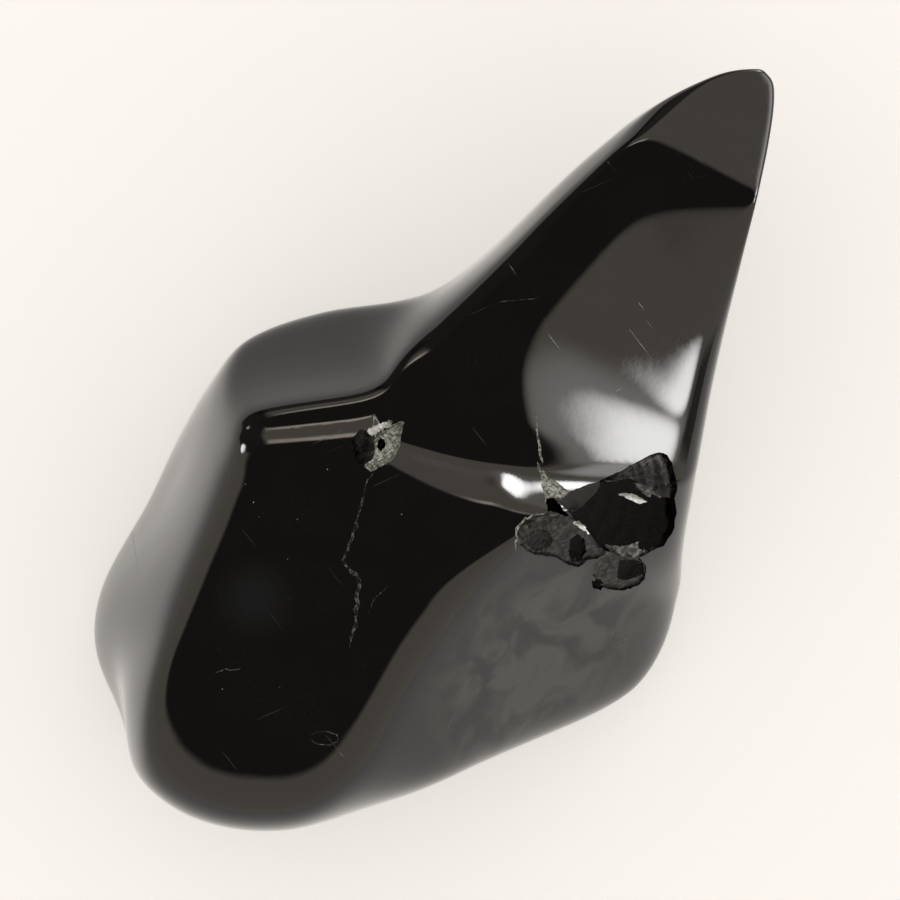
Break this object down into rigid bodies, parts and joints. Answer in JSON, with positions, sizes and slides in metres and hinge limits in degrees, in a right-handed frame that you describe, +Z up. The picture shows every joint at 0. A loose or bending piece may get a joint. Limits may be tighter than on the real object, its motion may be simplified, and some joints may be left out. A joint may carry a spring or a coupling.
{
  "type": "tumbled obsidian stone",
  "caption": "Polished black obsidian chunk: a blunt broad end, a crest and a tapering fin, with chipped crest and a crack.",
  "frame": {"origin": "centre of the bounding box's bottom, on the surface that the stone rests on", "axes": "+Z up from the surface it rests on, +Y towards the tip of the fin, +X to the side that the fin leans to"},
  "size_m": [0.0286, 0.0316, 0.0151],
  "materials": {
    "obsidian": "polished"
  },
  "bodies": {
    "root": {"obsidian_chunk": "obsidian"}
  },
  "joints": []
}
